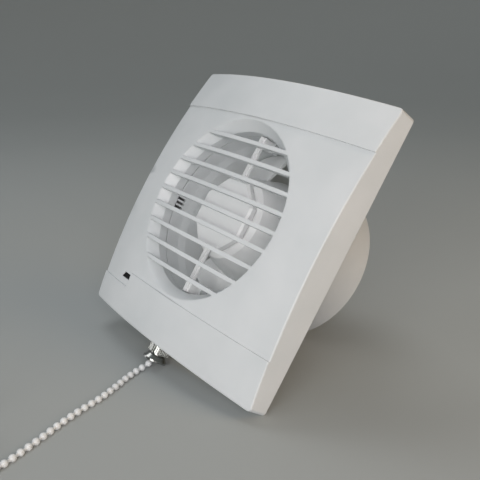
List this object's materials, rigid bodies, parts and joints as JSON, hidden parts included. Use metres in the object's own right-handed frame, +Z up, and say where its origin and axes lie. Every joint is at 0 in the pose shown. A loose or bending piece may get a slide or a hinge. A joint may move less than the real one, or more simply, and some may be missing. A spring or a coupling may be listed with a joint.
{
  "type": "ventilation fan",
  "caption": "Square wall extractor fan with a bowed louvred cover, axial impeller, round duct spigot and a pull-chain switch, leaning on a table.",
  "frame": {"origin": "middle of the footprint on the table, without the chain", "axes": "+Z up from the table, +X to the right of the cover, +Y backwards, the way the duct spigot points"},
  "size_m": [0.1678, 0.2843, 0.1497],
  "materials": {
    "white_abs": "satin moulded ABS",
    "window_acrylic": "gloss dark acrylic",
    "lamp_glass": "clear",
    "nickel_plate": "satin nickel plate",
    "zinc_steel": "zinc plated",
    "core_steel": "laminated sheet",
    "ferrite": "sintered",
    "winding_copper": "enamelled copper",
    "bearing_bronze": "sintered bronze",
    "contact_brass": "stamped",
    "board_laminate": "glass epoxy",
    "slide_nylon": "natural nylon",
    "terminal_nylon": "moulded nylon",
    "switch_plastic": "moulded",
    "grommet_rubber": "matt",
    "lead_pvc": "extruded sleeve",
    "chain_plastic": "moulded beads",
    "tie_band": "soft band"
  },
  "bodies": {
    "frame": {"front_cover": "white_abs", "casing": "white_abs", "motor_carrier": "white_abs", "pull_knob": "white_abs", "indicator_window": "window_acrylic", "indicator_lamp": "lamp_glass", "switch_barrel": "nickel_plate", "knurled_nut": "nickel_plate", "chain_bell": "nickel_plate", "carrier_screws": "zinc_steel", "clamp_screws": "zinc_steel", "terminal_screws": "zinc_steel", "cam_pin": "zinc_steel", "return_spring": "zinc_steel", "stator_core": "core_steel", "stator_coils": "winding_copper", "sleeve_bearing": "bearing_bronze", "switch_contacts": "contact_brass", "circuit_board": "board_laminate", "thrust_washer": "slide_nylon", "cable_clamp": "slide_nylon", "terminal_block": "terminal_nylon", "switch_body": "switch_plastic", "switch_lid": "switch_plastic", "cable_grommet": "grommet_rubber", "motor_leads": "lead_pvc", "switch_leads": "lead_pvc", "pull_chain": "chain_plastic", "chain_coil": "chain_plastic", "chain_tail": "chain_plastic", "coil_tie": "tie_band"},
    "rotor": {"impeller": "white_abs", "rotor_shaft": "zinc_steel", "rotor_yoke": "zinc_steel", "rotor_magnet": "ferrite", "shaft_clip": "zinc_steel"},
    "pull": {"switch_plunger": "slide_nylon"},
    "cam": {"switch_cam": "slide_nylon"}
  },
  "joints": [
    {"name": "impeller_spin", "type": "hinge", "parent": "frame", "child": "rotor", "pos_m": [-0.00021, -0.00598, 0.07167], "axis": [0.0422, -0.8352, 0.5483], "continuous": true},
    {"name": "chain_pull", "type": "slide", "parent": "frame", "child": "pull", "axis": [-0.0642, -0.55, -0.8327], "range_m": [0, 0.006], "stiffness_N_per_m": 300, "deforming": ["return_spring", "pull_chain"]},
    {"name": "cam_turn", "type": "hinge", "parent": "frame", "child": "cam", "pos_m": [0.00294, -0.04689, 0.02735], "axis": [0.0422, -0.8352, 0.5483], "continuous": true}
  ],
  "couplings": [
    {"joint": "cam_turn", "follows": "chain_pull", "rad_per_m": 130}
  ]
}
